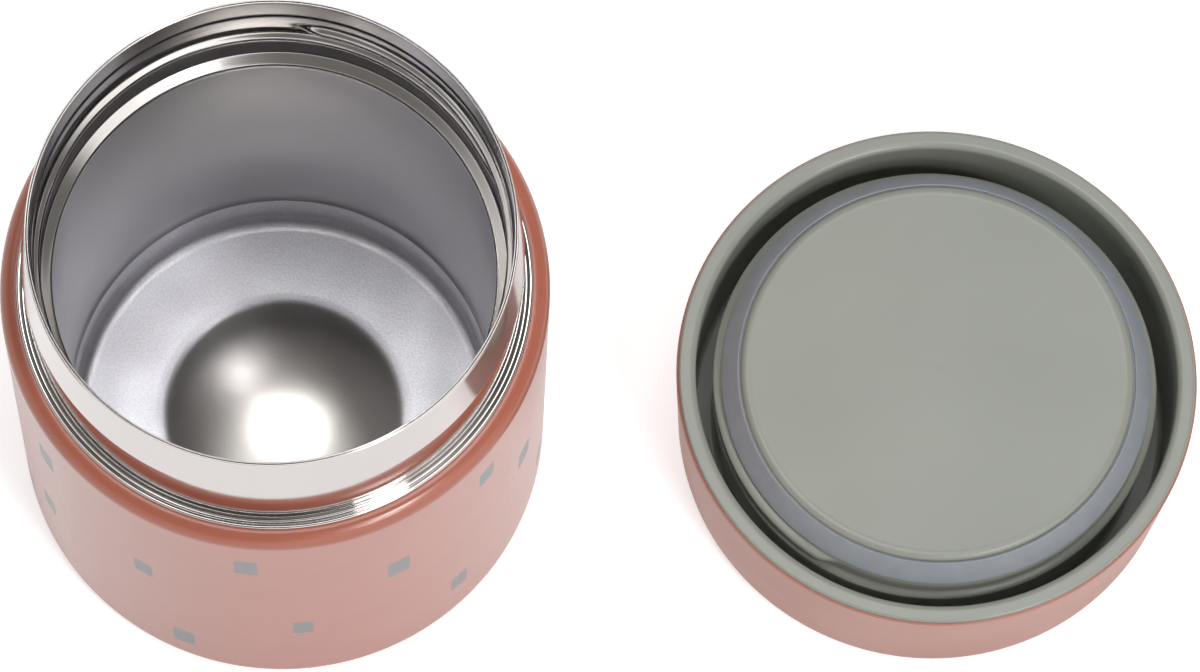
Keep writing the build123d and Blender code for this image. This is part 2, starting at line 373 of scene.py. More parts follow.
neck_skin = turned_piece("neck_skin", neck_loop, "jar")
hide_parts("neck_ring")

# %% [markdown]
# ## The inner vessel
#
# From the lip down: a plain band, a shallow rolled bead, the threaded band, a step in to the flat
# cone that the lid's ring seals on, and the straight wall of the food space. The thread needs short
# steps, so the profile is finely stepped down to just below that cone.

# %% Inner vessel's profile
LINER_WALL = 0.32
FOOD_RADIUS = 37.5
BEAD_DROP = 5.2
BEAD_HEIGHT = 3.3
BEAD_DEPTH = 0.25
BEAD_SLOPE = 0.5
SEAT_DROP = 20.4
SEAT_RADIUS = 39.4
SEAT_HEIGHT = 1.5
STEP_HEIGHT = 2.8
STEP_BEND = 1.0
ROLLED_BEND = 0.8
WELD_HEIGHT = 16.0
FINE_STEP = 0.31
FINE_REACH = 2  # how far the fine steps go on below the cone
WALL_STEP = 6.0
mouth_radius = liner_radius - LINER_WALL
bead_radius = mouth_radius - BEAD_DEPTH
bead_top = lip_height - BEAD_DROP
bead_bottom = bead_top - BEAD_HEIGHT
seat_top = lip_height - SEAT_DROP
seat_bottom = seat_top - SEAT_HEIGHT
upper_path = rounded_path(
    [
        (mouth_radius, lip_height - LINER_WALL / 2),
        (mouth_radius, bead_top, ROLLED_BEND),
        (bead_radius, bead_top - BEAD_SLOPE, ROLLED_BEND),
        (bead_radius, bead_bottom + BEAD_SLOPE, ROLLED_BEND),
        (mouth_radius, bead_bottom, ROLLED_BEND),
        (mouth_radius, seat_top + STEP_HEIGHT, STEP_BEND),
        (SEAT_RADIUS, seat_top, ROLLED_BEND),
        (FOOD_RADIUS, seat_bottom, ROLLED_BEND),
        (FOOD_RADIUS, seat_bottom - FINE_REACH),
    ],
    step=FINE_STEP,
)
lower_path = straight(upper_path[-1], np.array([FOOD_RADIUS, WELD_HEIGHT]), step=WALL_STEP)
liner_path = np.concatenate([upper_path, lower_path[1:]])
print("inner vessel's profile:", len(liner_path), "points")

# %% Inner vessel with its rolled thread
RIB_DEPTH = 1.2
ROLLED_RIB = {
    "top_angle": math.radians(86),
    "top_height": lip_height - 10.4,
    "half_base": 1.55,
    "half_crest": 0.35,
    "tip": math.radians(8),
}


def rolled_thread(angle, radius, height):
    """Radius less the rib's depth, on the food side of the sheet only."""
    food_side = np.abs(radius - mouth_radius) < LINER_WALL / 2
    return radius - RIB_DEPTH * rib_bump(angle, height, **ROLLED_RIB) * food_side


liner_loop = sheet_loop(liner_path, LINER_WALL)
liner_skin = turned_piece("liner_skin", liner_loop, "jar", change=rolled_thread)
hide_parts("inner_liner")

# %% [markdown]
# ## The domed floor
#
# The bottom of the food space is a pressed cup welded to the wall, with a dome in the middle that
# stiffens it against the vacuum. The dome is the larger of a spherical cap and the flat floor. A
# plain maximum would leave a crease where they meet, so a smooth one is used.

# %% Floor cup
FLOOR = 6.5
CORNER_BEND = 2.5
DOME_RADIUS = 21.3
DOME_HEIGHT = 5.0
DOME_MARGIN = 2.0
DOME_POINTS = 90
DOME_BLEND = 0.45
FADE_POWER = 8
POINT_GAP = 0.1
dome_start = DOME_RADIUS + DOME_MARGIN


def dome_rise(radius):
    """Rise above the floor: (c + sqrt(c^2 + b^2)) / 2, c the cap, b the blend, faded to zero."""
    sphere = (DOME_RADIUS**2 + DOME_HEIGHT**2) / (2 * DOME_HEIGHT)
    cap = DOME_HEIGHT - sphere + np.sqrt(sphere**2 - radius**2)
    rise = (cap + np.sqrt(cap**2 + DOME_BLEND**2)) / 2
    return rise - rise[0] * (radius / radius[0]) ** FADE_POWER


flat_path = rounded_path(
    [(FOOD_RADIUS, WELD_HEIGHT), (FOOD_RADIUS, FLOOR, CORNER_BEND), (dome_start, FLOOR)]
)
dome_r = np.linspace(dome_start - POINT_GAP, 0, DOME_POINTS)
dome_path = np.stack([dome_r, FLOOR + dome_rise(dome_r)], axis=1)
cup_path = np.concatenate([flat_path, dome_path])
cup_under = cup_path + LINER_WALL * normals(cup_path)
cup_under[-1, 0] = 0  # the under side ends on the axis too
cup_loop = np.concatenate([cup_path, cup_under[::-1]])
cup_skin = turned_piece("cup_skin", cup_loop, "jar")
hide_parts("inner_base_cup")

# %% [markdown]
# ## Under the jar
#
# The plate under the vacuum space is hidden by a thin moulded disc. It has two shallow recesses, a
# round one in its middle and a ring near its edge, which keep a thin disc from looking dished.

# %% Base cover
COVER_GAP = 0.5
COVER_TOP = 1.6
COVER_FACE = 0.8
HUB_RADIUS = 11.0
RECESS_INNER = 31.6
RECESS_OUTER = 36.4
RECESS_DEPTH = 0.25
RECESS_SLOPE = 0.6
RECESS_BEND = 0.3
COVER_BEND = 0.35
SHARP_BEND = 0.1
cover_radius = recess_radius - COVER_GAP
recess_face = COVER_FACE + RECESS_DEPTH
cover_path = rounded_path(
    [
        (0, recess_face),
        (HUB_RADIUS, recess_face, RECESS_BEND),
        (HUB_RADIUS + RECESS_SLOPE, COVER_FACE, RECESS_BEND),
        (RECESS_INNER - RECESS_SLOPE, COVER_FACE, RECESS_BEND),
        (RECESS_INNER, recess_face, RECESS_BEND),
        (RECESS_OUTER, recess_face, RECESS_BEND),
        (RECESS_OUTER + RECESS_SLOPE, COVER_FACE, RECESS_BEND),
        (cover_radius, COVER_FACE, COVER_BEND),
        (cover_radius, COVER_TOP, SHARP_BEND),
        (0, COVER_TOP),
    ]
)
cover_skin = turned_piece("foot_cover", cover_path, "jar", closed=False)
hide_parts("base_cover")

# %% [markdown]
# ## The lid's cover
#
# A shallow moulded cup with a little draft, lying on its closed end. Its edge is thin where it
# laps round the liner's rim, and that edge catches the light as a fine line.

# %% Lid cover
LID_HEIGHT = 29.3
LID_DRAFT = math.radians(2.85)
LID_WALL = 1.0
LID_BEND = 4.4
LAP_WALL = 0.35
LAP_DEPTH = 0.9
LAP_BEND = 0.22
INSIDE_DRAFT = 0.02
INSIDE_BEND = 0.05
lid_foot = lid_radius - LID_HEIGHT * math.tan(LID_DRAFT)
lap_radius = lid_radius - LAP_WALL
lap_step = rim_height - LAP_DEPTH
lid_outside = rounded_path(
    [
        (lap_radius, lap_step),
        (lap_radius, LID_HEIGHT, SHARP_BEND),
        (lid_radius, LID_HEIGHT, LAP_BEND),
        (lid_foot, 0, LID_BEND),
        (0, 0),
    ]
)
lid_inside = rounded_path(
    [
        (0, LID_WALL),
        (lid_foot - LID_WALL, LID_WALL, LID_BEND - LID_WALL),
        (lid_radius - LID_WALL - INSIDE_DRAFT, lap_step, INSIDE_BEND),
        (lap_radius, lap_step),
    ]
)
lid_loop = np.concatenate([lid_outside, lid_inside[:-1]])
lid_skin = turned_piece("lid_skin", lid_loop, "lid", lid_axis)
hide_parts("lid_cover")

# %% [markdown]
# ## The lid's liner
#
# One moulding: a rounded rim, a skirt, the deep channel that the neck goes into, the plug with its
# outside thread, and a collar for the ring. The plug's wall is stepped finely for the thread.

# %% Lid liner's rim, skirt and channel
RIM_FIT = 0.05
RIM_LIP = 0.5
RIM_BEND = 0.45
SKIRT_RADIUS = 42.5
SKIRT_BEND = 1.1
CHANNEL_FLOOR = 3.4
PLUG_RADIUS = 38.0
MOULDED_BEND = 1.0
FINE_START = 12.0  # height from which the plug's wall is finely stepped
rim_radius = lap_radius - RIM_FIT
rim_path = rounded_path(
    [
        (rim_radius, rim_height - RIM_LIP),
        (rim_radius, rim_height, RIM_BEND),
        (SKIRT_RADIUS, rim_height, SKIRT_BEND),
        (SKIRT_RADIUS, CHANNEL_FLOOR, MOULDED_BEND),
        (PLUG_RADIUS, CHANNEL_FLOOR, MOULDED_BEND),
        (PLUG_RADIUS, FINE_START),
    ]
)
print("rim, skirt and channel:", len(rim_path), "points")

# %% Lid liner's plug and collar
PLUG_DROP = 3.24
COLLAR_RADIUS = 33.5
COLLAR_HEIGHT = 3.9
COLLAR_BEND = 0.3
PLUG_STEP = 0.2
plug_top = rim_height - PLUG_DROP
collar_top = plug_top + COLLAR_HEIGHT
plug_path = rounded_path(
    [
        (PLUG_RADIUS, FINE_START),
        (PLUG_RADIUS, plug_top, MOULDED_BEND),
        (COLLAR_RADIUS, plug_top, COLLAR_BEND),
        (COLLAR_RADIUS, collar_top),
    ],
    step=PLUG_STEP,
)
print("plug and collar:", len(plug_path), "points")

# %% [markdown]
# The far side of the moulding is hidden inside the lid. It follows the near side one wall away,
# with bends of its own, so it is drawn by itself.

# %% Far side of the lid's liner
MOULDED_WALL = 0.9
FAR_COLLAR_BEND = 0.9
FAR_CHANNEL_BEND = 1.6
FAR_RIM_BEND = 0.2
collar_inside = COLLAR_RADIUS - MOULDED_WALL
plug_inside = PLUG_RADIUS - MOULDED_WALL
skirt_outside = SKIRT_RADIUS + MOULDED_WALL
far_path = rounded_path(
    [
        (collar_inside, collar_top),
        (collar_inside, plug_top - MOULDED_WALL, FAR_COLLAR_BEND),
        (plug_inside, plug_top - MOULDED_WALL, COLLAR_BEND),
        (plug_inside, CHANNEL_FLOOR - MOULDED_WALL, FAR_CHANNEL_BEND),
        (skirt_outside, CHANNEL_FLOOR - MOULDED_WALL, FAR_CHANNEL_BEND),
        (skirt_outside, lap_step, FAR_RIM_BEND),
        (rim_radius, lap_step),
    ]
)
lid_liner_loop = np.concatenate([rim_path, plug_path[1:], far_path])
print("lid liner's profile:", len(lid_liner_loop), "points")

# %% Lid liner with its moulded thread
LUG_HEIGHT = 1.35
MOULDED_RIB = {
    "top_angle": math.radians(-117),
    "top_height": plug_top - 1.0,
    "half_base": 1.6,
    "half_crest": 0.85,
    "tip": math.radians(7),
}


def moulded_thread(angle, radius, height):
    """Radius plus the lug's height, on the plug's outer wall only."""
    outer_wall = np.abs(radius - PLUG_RADIUS) < MOULDED_WALL / 2
    return radius + LUG_HEIGHT * rib_bump(angle, height, **MOULDED_RIB) * outer_wall


lid_liner_skin = turned_piece(
    "lid_liner_skin", lid_liner_loop, "lid", lid_axis, moulded_thread
)
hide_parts("lid_liner")

# %% [markdown]
# ## The plug's disc
#
# It closes the plug and traps the ring, and a tongue under it fits inside the collar. A moulded
# disc is never quite flat: this one is a hair lower inside its border, and the mark of its moulding
# gate stands in the middle.

# %% Plug disc
FACE_RADIUS = 34.7
FACE_POINTS = 60
BORDER_WIDTH = 1.8
BORDER_RISE = 0.03
BORDER_BEND = 0.8
CREST_INSET = 1.3
EDGE_DROP = 0.1
EDGE_BEND = 1.1
DISH_DEPTH = 0.1
GATE_RADIUS = 0.8
GATE_HEIGHT = 0.03
TONGUE_FIT = 0.05
TONGUE_WALL = 1.1
TONGUE_DEPTH = 2.8
TONGUE_BEND = 0.2
border_start = FACE_RADIUS - BORDER_WIDTH
border_foot = face_height - BORDER_RISE
tongue_outer = collar_inside - TONGUE_FIT
tongue_inner = tongue_outer - TONGUE_WALL
tongue_low = collar_top - TONGUE_DEPTH
disc_r = np.linspace(0, border_start - POINT_GAP, FACE_POINTS)
dish = DISH_DEPTH * ((disc_r / disc_r[-1]) ** 4 - 1)
gate_mark = GATE_HEIGHT * np.exp(-((disc_r / GATE_RADIUS) ** 4))
disc_top = np.stack([disc_r, border_foot + dish + gate_mark], axis=1)
disc_edge = rounded_path(
    [
        (border_start, border_foot),
        (FACE_RADIUS - CREST_INSET, face_height, BORDER_BEND),
        (FACE_RADIUS, face_height - EDGE_DROP, EDGE_BEND),
        (FACE_RADIUS, collar_top, SHARP_BEND),
        (tongue_outer, collar_top, SHARP_BEND),
        (tongue_outer, tongue_low, TONGUE_BEND),
        (tongue_inner, tongue_low, TONGUE_BEND),
        (tongue_inner, collar_top, TONGUE_BEND),
        (0, collar_top),
    ]
)
face_profile = np.concatenate([disc_top, disc_edge])
face_skin = turned_piece("face_skin", face_profile, "lid", lid_axis, closed=False)
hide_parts("plug_face")

# %% [markdown]
# ## The silicone ring
#
# A soft ring in the groove under the disc, with a lip that slopes out and down to the sealing edge.

# %% Seal ring
RING_CLEARANCE = 0.3
RING_FOOT = 1.4
RING_RISE = 0.3
RING_BEND = 0.3
RING_EDGE_BEND = 0.2
RING_LIP_RADIUS = 38.15
LIP_WIDTH = 0.9
LIP_LOW = 0.4
LIP_HIGH = 0.7
LIP_BEND = 0.25
RING_TOP_BEND = 0.15
RING_NECK_BEND = 0.05
SEAM = 0.01  # the profile's ends lie this far apart, on the side that nobody sees
ring_inner = COLLAR_RADIUS + RING_CLEARANCE
ring_foot = ring_inner + RING_FOOT
ring_neck = FACE_RADIUS + RING_CLEARANCE
ring_low = plug_top + RING_CLEARANCE
ring_high = collar_top - RING_CLEARANCE
ring_middle = (ring_low + collar_top) / 2
ring_path = rounded_path(
    [
        (ring_inner, ring_middle),
        (ring_inner, ring_low, RING_EDGE_BEND),
        (ring_foot, ring_low, RING_BEND),
        (ring_foot, ring_low + RING_FOOT, RING_BEND),
        (RING_LIP_RADIUS - LIP_WIDTH, plug_top + LIP_LOW, RING_EDGE_BEND),
        (RING_LIP_RADIUS, plug_top + LIP_HIGH, LIP_BEND),
        (ring_neck, collar_top + RING_RISE, RING_TOP_BEND),
        (ring_neck, ring_high, RING_NECK_BEND),
        (ring_inner, ring_high, RING_EDGE_BEND),
        (ring_inner, ring_middle + SEAM),
    ]
)
ring_skin = turned_piece("ring_skin", ring_path, "seal", lid_axis)
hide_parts("seal_ring")

# %% [markdown]
# ## Finishes: a few helpers
#
# A finish is a small graph of shader nodes. These helpers keep the graphs readable: the first adds
# a node and fills or links its inputs, and the others are the few nodes that nearly every finish
# needs, for arithmetic, a change of range and a mix.

# %% Node helpers
def node(tree, kind, inputs=None, **settings):
    """Add a shader node. An input that is a socket is linked, and any other is set."""
    made = tree.nodes.new("ShaderNode" + kind)
    for key, value in settings.items():
        setattr(made, key, value)
    for key, value in (inputs or {}).items():
        if isinstance(value, bpy.types.NodeSocket):
            tree.links.new(value, made.inputs[key])
        else:
            made.inputs[key].default_value = value
    return made


def calc(tree, operation, first, second=0.0):
    """Result socket of one arithmetic node."""
    return node(tree, "Math", {0: first, 1: second}, operation=operation).outputs[0]


def vector_calc(tree, operation, first, second=(0, 0, 0)):
    """Result socket of one arithmetic node for vectors."""
    return node(tree, "VectorMath", {0: first, 1: second}, operation=operation).outputs[0]


# %% Range and mix
MIX_VALUES = (2, 3, 0)  # sockets of a Mix node: first input, second input, result
MIX_COLOURS = (6, 7, 2)


def ramp(tree, value, low, high, to_low=0.0, to_high=1.0, kind="LINEAR"):
    """Result socket of a clamped change of range."""
    inputs = {"Value": value, "From Min": low, "From Max": high}
    inputs |= {"To Min": to_low, "To Max": to_high}
    return node(tree, "MapRange", inputs, interpolation_type=kind).outputs["Result"]


def mix(tree, share, first, second, sockets, data_type):
    """Result socket of a mix: first * (1 - share) + second * share."""
    inputs = {"Factor": share, sockets[0]: first, sockets[1]: second}
    return node(tree, "Mix", inputs, data_type=data_type).outputs[sockets[2]]


def mix_value(tree, share, first, second):
    """Mix of two values."""
    return mix(tree, share, first, second, MIX_VALUES, "FLOAT")


def mix_colour(tree, share, first, second):
    """Mix of two colours."""
    return mix(tree, share, first, second, MIX_COLOURS, "RGBA")


# %% [markdown]
# Every finish starts from the point's place on the object, by Object coordinates. The lid's are
# first moved to the lid's own axis, so that its rings are centred.

# %% Start of a material
def start_material(name, axis_x=0.0):
    """New material with its place on the object: sqrt(x^2 + y^2), atan2(y, x) and z."""
    material = bpy.data.materials.new(name)
    material.use_nodes = True
    tree = material.node_tree
    tree.nodes.clear()
    where = node(tree, "TexCoord").outputs["Object"]
    point = node(tree, "Mapping", {"Vector": where, "Location": (-axis_x * MM, 0, 0)}).outputs[0]
    x, y, z = node(tree, "SeparateXYZ", {0: point}).outputs
    squares = calc(tree, "ADD", calc(tree, "MULTIPLY", x, x), calc(tree, "MULTIPLY", y, y))
    place = {
        "point": point,
        "radius": calc(tree, "SQRT", squares),
        "angle": calc(tree, "ARCTAN2", y, x),
        "height": z,
    }
    return material, tree, place


# %% [markdown]
# Patterns come from noise. It mostly stays between 0.3 and 0.7, so it is stretched from there
# before it sets a colour or a roughness. As the height of a bump it is used as it is.

# %% Patterns
NOISE_SPREAD = (0.3, 0.7)
CRISP_SPREAD = (0.35, 0.65)
RING_STRETCH = 0.004  # metres in the noise for each radian round the axis


def noise(tree, vector, scale, detail=2.0, roughness=0.5):
    """Result socket of a plain noise, from 0 to 1."""
    inputs = {"Vector": vector, "Scale": scale, "Detail": detail, "Roughness": roughness}
    return node(tree, "TexNoise", inputs).outputs[0]


def ring_grain(tree, place, scale):
    """Fine lines round the axis: noise of (radius, height, angle), slow along the angle."""
    along = calc(tree, "MULTIPLY", place["angle"], RING_STRETCH)
    inputs = {"X": place["radius"], "Y": place["height"], "Z": along}
    point = node(tree, "CombineXYZ", inputs).outputs[0]
    return noise(tree, point, scale, detail=3.0, roughness=0.6)


def bump(tree, height, distance, normal=None):
    """Normal socket of a bump whose full height is a real distance in metres."""
    inputs = {"Height": height, "Distance": distance}
    if normal:
        inputs["Normal"] = normal
    return node(tree, "Bump", inputs).outputs[0]


# %% Finish of a material
def finish_material(material, tree, shader_inputs):
    """Close the graph with one Principled shader."""
    shader = node(tree, "BsdfPrincipled", shader_inputs)
    node(tree, "OutputMaterial", {"Surface": shader.outputs[0]})
    print(material.name, "nodes", len(tree.nodes))
    return material


def dress(piece, material):
    """Give a piece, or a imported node, its one finish."""
    piece.data.materials.clear()
    piece.data.materials.append(material)


# %% [markdown]
# ## Paint with a scattered print
#
# The shell has a satin terracotta paint with small grey blocks scattered over it. They could be an
# image, but a block is easier to keep sharp as a distance: each one is a rounded box on the
# unrolled side, and the print is wherever the nearest box is close enough.

# %% Printed blocks
BLOCK_CORNER = 0.7
BLOCK_HALF = (1.95, 3.5)
BLOCK_SPREAD = 0.08  # blocks differ in size by this share, in a wave along the list
BLOCK_WAVE = 2.3
PRINT_SOFTNESS = 0.08
SIDE_TOLERANCE = 0.05
PRINT = [  # angle round the jar in degrees, height of the middle in millimetres
    (-149.7, 30), (-147.3, 61), (-119.6, 47), (-111.5, 14), (-96.1, 66), (-84.8, 30),
    (-63.3, 51), (-47.7, 19), (-39.6, 66), (-24.1, 44), (-12, 15), (2, 63), (17, 37), (31, 62),
    (40, 16), (58, 45), (71, 66), (83, 25), (99, 50), (112, 14), (121, 64), (138, 38), (151, 14),
    (158, 61), (171, 33), (-168, 49), (-163, 14),
]


def block_distance(tree, spot, centre, half):
    """Distance from a rounded box's core: the length of max(|p - centre| - half, 0)."""
    away = vector_calc(tree, "ABSOLUTE", vector_calc(tree, "SUBTRACT", spot, centre))
    outside = vector_calc(tree, "MAXIMUM", vector_calc(tree, "SUBTRACT", away, half))
    return node(tree, "VectorMath", {0: outside}, operation="LENGTH").outputs["Value"]


def printed_blocks(tree, place):
    """Mask of the blocks: one where the nearest core is less than the corner's radius away."""
    unrolled = calc(tree, "MULTIPLY", place["angle"], body_radius * MM)
    spot = node(tree, "CombineXYZ", {"X": unrolled, "Y": place["height"]}).outputs[0]
    nearest = 1.0
    for index, (degrees, height) in enumerate(PRINT):
        centre = (math.radians(degrees) * body_radius * MM, height * MM, 0)
        grow = 1 + BLOCK_SPREAD * math.sin(BLOCK_WAVE * index)
        half = [(size * grow - BLOCK_CORNER) * MM for size in BLOCK_HALF]
        distance = block_distance(tree, spot, centre, (*half, 0))
        nearest = calc(tree, "MINIMUM", distance, nearest)
    edge = BLOCK_CORNER * MM
    inside = ramp(tree, nearest, edge * (1 + PRINT_SOFTNESS), edge * (1 - PRINT_SOFTNESS))
    side = (body_radius - SIDE_TOLERANCE) * MM
    return calc(tree, "MULTIPLY", inside, calc(tree, "GREATER_THAN", place["radius"], side))


# %% [markdown]
# The paint itself has two close tones in soft clouds and a thin clear gloss. The fine swell of
# sprayed paint is a low bump, and the print stands a hair above it.

# %% Painted shell finish
PAINT = (0.49, 0.15, 0.095, 1)
PAINT_DEEP = (0.465, 0.14, 0.087, 1)
PRINT_GREY = (0.215, 0.215, 0.225, 1)
PAINT_ROUGH = 0.27
PRINT_ROUGH = 0.42


def shell_paint():
    """Satin paint, rougher where the print is."""
    material, tree, place = start_material("painted_shell_finish")
    blocks = printed_blocks(tree, place)
    cloud = noise(tree, place["point"], scale=45.0, detail=3.0)
    paint = mix_colour(tree, ramp(tree, cloud, *CRISP_SPREAD), PAINT_DEEP, PAINT)
    swell = noise(tree, place["point"], scale=900.0, detail=1.0)
    surface = bump(tree, swell, distance=0.000004)
    shader_inputs = {
        "Base Color": mix_colour(tree, blocks, paint, PRINT_GREY),
        "Roughness": ramp(tree, blocks, 0, 1, PAINT_ROUGH, PRINT_ROUGH),
        "IOR": 1.5,
        "Coat Weight": 0.3,
        "Coat Roughness": 0.15,
        "Normal": bump(tree, blocks, distance=0.000015, normal=surface),
    }
    return finish_material(material, tree, shader_inputs)


dress(shell_skin, shell_paint())

# %% [markdown]
# ## Steel
#
# The same metal has several finishes here, and inside the vessel its colour also carries painted
# light and shade. The neck is polished until only the finest turning lines are left. Lines that run
# round the axis come from a noise that changes fast with radius and height and slowly with the
# angle.

# %% Polished neck
NECK_STEEL = (0.61, 0.58, 0.565, 1)
NECK_ROUGH = (0.05, 0.11)


def polished_steel():
    """Mirror finish with faint turning lines, a little duller in patches."""
    material, tree, place = start_material("polished_neck_finish")
    lines = ring_grain(tree, place, scale=2600.0)
    wander = noise(tree, place["point"], scale=60.0, detail=3.0)
    shader_inputs = {
        "Base Color": NECK_STEEL,
        "Metallic": 1.0,
        "Roughness": ramp(tree, wander, *NOISE_SPREAD, *NECK_ROUGH),
        "Normal": bump(tree, lines, distance=0.0000006),
    }
    return finish_material(material, tree, shader_inputs)


dress(neck_skin, polished_steel())

# %% [markdown]
# The vessel's mouth is nearly as bright. Below the seat its wall is satin, and its colour is darker
# than the mouth's, which is painted shade for the deep inside of the jar. One material does both,
# by height. Real turning lines stretch each reflection one way. Anisotropic does that here, with a
# Tangent that runs round the axis.

# %% Inner vessel: polished mouth, satin wall
MOUTH_STEEL = (0.60, 0.575, 0.56, 1)
# The wall's darker colour is painted shade for the deep inside of the jar.
SHADED_WALL_STEEL = (0.37, 0.36, 0.375, 1)
MOUTH_ROUGH = (0.09, 0.16)
WALL_ROUGH = (0.30, 0.36)
# The painted shade of the wall starts and is full at the same heights as the satin.
SATIN_AND_SHADE_START = 0.2  # how far below the seat the satin starts, and where it is full
SATIN_AND_SHADE_FULL = 1.2


def vessel_steel():
    """Polished above the seat, satin below it with a darker colour that is painted shade, and
    turning lines all the way down.
    """
    material, tree, place = start_material("inner_vessel_finish_and_painted_shade")
    lines = ring_grain(tree, place, scale=2200.0)
    start, full = (seat_bottom - SATIN_AND_SHADE_START) * MM, (seat_bottom - SATIN_AND_SHADE_FULL) * MM
    satin_and_shade = ramp(tree, place["height"], start, full)
    wander = noise(tree, place["point"], scale=50.0, detail=3.0)
    mouth_rough = ramp(tree, wander, *NOISE_SPREAD, *MOUTH_ROUGH)
    wall_rough = ramp(tree, wander, *NOISE_SPREAD, *WALL_ROUGH)
    shader_inputs = {
        "Base Color": mix_colour(tree, satin_and_shade, MOUTH_STEEL, SHADED_WALL_STEEL),
        "Metallic": 1.0,
        "Roughness": mix_value(tree, satin_and_shade, mouth_rough, wall_rough),
        "Anisotropic": 0.7,
        "Tangent": node(tree, "Tangent", direction_type="RADIAL", axis="Z").outputs[0],
        "Normal": bump(tree, lines, distance=0.0000015),
    }
    return finish_material(material, tree, shader_inputs)


dress(liner_skin, vessel_steel())

# %% [markdown]
# The floor is blasted to a pale fine grain, and the dome was pressed smoother and warmer. Both
# colours are paler than steel itself, which is painted light falling in through the mouth. The
# change from one to the other follows the radius.

# %% Blasted floor, smoother dome
# These colours are paler than steel: painted light, on top of the real paleness of blasted grain.
LIT_FLOOR_STEEL = (0.83, 0.82, 0.87, 1)
LIT_FLOOR_STEEL_PALE = (0.96, 0.95, 1.0, 1)
LIT_DOME_STEEL = (0.77, 0.74, 0.70, 1)
FLOOR_ROUGH = (0.43, 0.51)
DOME_ROUGH = (0.28, 0.32)
DOME_EDGE = 0.8  # the finish changes over this much on each side of the dome's foot
DOME_GRAIN = 0.35  # share of the floor's grain that is left on the dome


def floor_steel():
    """Fine grain over slow patches, on colours that are partly painted light. On the dome the grain
    is lower and the gloss is higher.
    """
    material, tree, place = start_material("blasted_floor_finish_and_painted_light")
    grain = noise(tree, place["point"], scale=2600.0, roughness=0.6)
    patch = noise(tree, place["point"], scale=120.0, detail=4.0)
    outer, inner = (DOME_RADIUS + DOME_EDGE) * MM, (DOME_RADIUS - DOME_EDGE) * MM
    dome = ramp(tree, place["radius"], outer, inner)
    depth = calc(tree, "MULTIPLY", grain, ramp(tree, dome, 0, 1, 1.0, DOME_GRAIN))
    surface = bump(tree, depth, distance=0.000035)
    pale = ramp(tree, grain, *CRISP_SPREAD)
    lit_floor_colour = mix_colour(tree, pale, LIT_FLOOR_STEEL, LIT_FLOOR_STEEL_PALE)
    floor_rough = ramp(tree, patch, *NOISE_SPREAD, *FLOOR_ROUGH)
    dome_rough = ramp(tree, patch, *NOISE_SPREAD, *DOME_ROUGH)
    shader_inputs = {
        "Base Color": mix_colour(tree, dome, lit_floor_colour, LIT_DOME_STEEL),
        "Metallic": 1.0,
        "Roughness": mix_value(tree, dome, floor_rough, dome_rough),
        "Normal": bump(tree, patch, distance=0.00002, normal=surface),
    }
    return finish_material(material, tree, shader_inputs)


dress(cup_skin, floor_steel())

# %% [markdown]
# ## Plastics
#
# The lid's cover is a satin moulding close to the paint's colour, its liner is grey-olive, and the
# disc under the jar is near black. A moulding has a faint texture and a slow change of gloss.

# %% Moulded plastics
COVER_PINK = ((0.49, 0.215, 0.16, 1), (0.475, 0.205, 0.15, 1))
OLIVE = ((0.345, 0.362, 0.312, 1), (0.337, 0.353, 0.307, 1))
FOOT_BLACK = ((0.03, 0.028, 0.028, 1), (0.035, 0.033, 0.033, 1))
GLOSS_WANDER = 0.03


def moulding(name, colours, rough, axis_x=0.0, texture=0.000004):
    """Satin plastic: two near colours in slow clouds, and a fine texture."""
    material, tree, place = start_material(name, axis_x)
    cloud = noise(tree, place["point"], scale=40.0, detail=3.0)
    fine = noise(tree, place["point"], scale=1500.0)
    gloss = (rough - GLOSS_WANDER, rough + GLOSS_WANDER)
    shader_inputs = {
        "Base Color": mix_colour(tree, ramp(tree, cloud, *NOISE_SPREAD), *colours),
        "Roughness": ramp(tree, cloud, *NOISE_SPREAD, *gloss),
        "IOR": 1.49,
        "Normal": bump(tree, fine, texture),
    }
    return finish_material(material, tree, shader_inputs)


dress(lid_liner_skin, moulding("olive_liner_finish", OLIVE, 0.3, lid_axis))
dress(face_skin, moulding("olive_face_finish", OLIVE, 0.34, lid_axis))
dress(lid_skin, moulding("lid_cover_finish", COVER_PINK, 0.36, lid_axis))
dress(cover_skin, moulding("foot_cover_finish", FOOT_BLACK, 0.5, texture=0.00002))

# %% [markdown]
# The ring is milky silicone, which lets some light into its body. Subsurface gives that, with a
# radius that is a little longer for blue.

# %% Silicone
SILICONE = (0.325, 0.345, 0.375, 1)
SILICONE_PALE = (0.355, 0.375, 0.405, 1)
SILICONE_ROUGH = (0.36, 0.44)


def silicone():
    """Hazy rubber: subsurface light under a soft gloss."""
    material, tree, place = start_material("silicone_finish", lid_axis)
    haze = noise(tree, place["point"], scale=300.0)
    pale = ramp(tree, haze, *NOISE_SPREAD)
    shader_inputs = {
        "Base Color": mix_colour(tree, pale, SILICONE, SILICONE_PALE),
        "Roughness": ramp(tree, haze, *NOISE_SPREAD, *SILICONE_ROUGH),
        "IOR": 1.41,
        "Subsurface Weight": 0.35,
        "Subsurface Radius": (0.9, 1.0, 1.3),
        "Subsurface Scale": 0.0012,
        "Normal": bump(tree, haze, distance=0.000008),
    }
    return finish_material(material, tree, shader_inputs)


dress(ring_skin, silicone())

# %% [markdown]
# ## Pieces that stay as they were packed
#
# The parts inside the walls are never seen whole, but each has its own finish all the same.

# %% Hidden metals
DARK_SHARE = 0.85
DULL_WANDER = 0.06


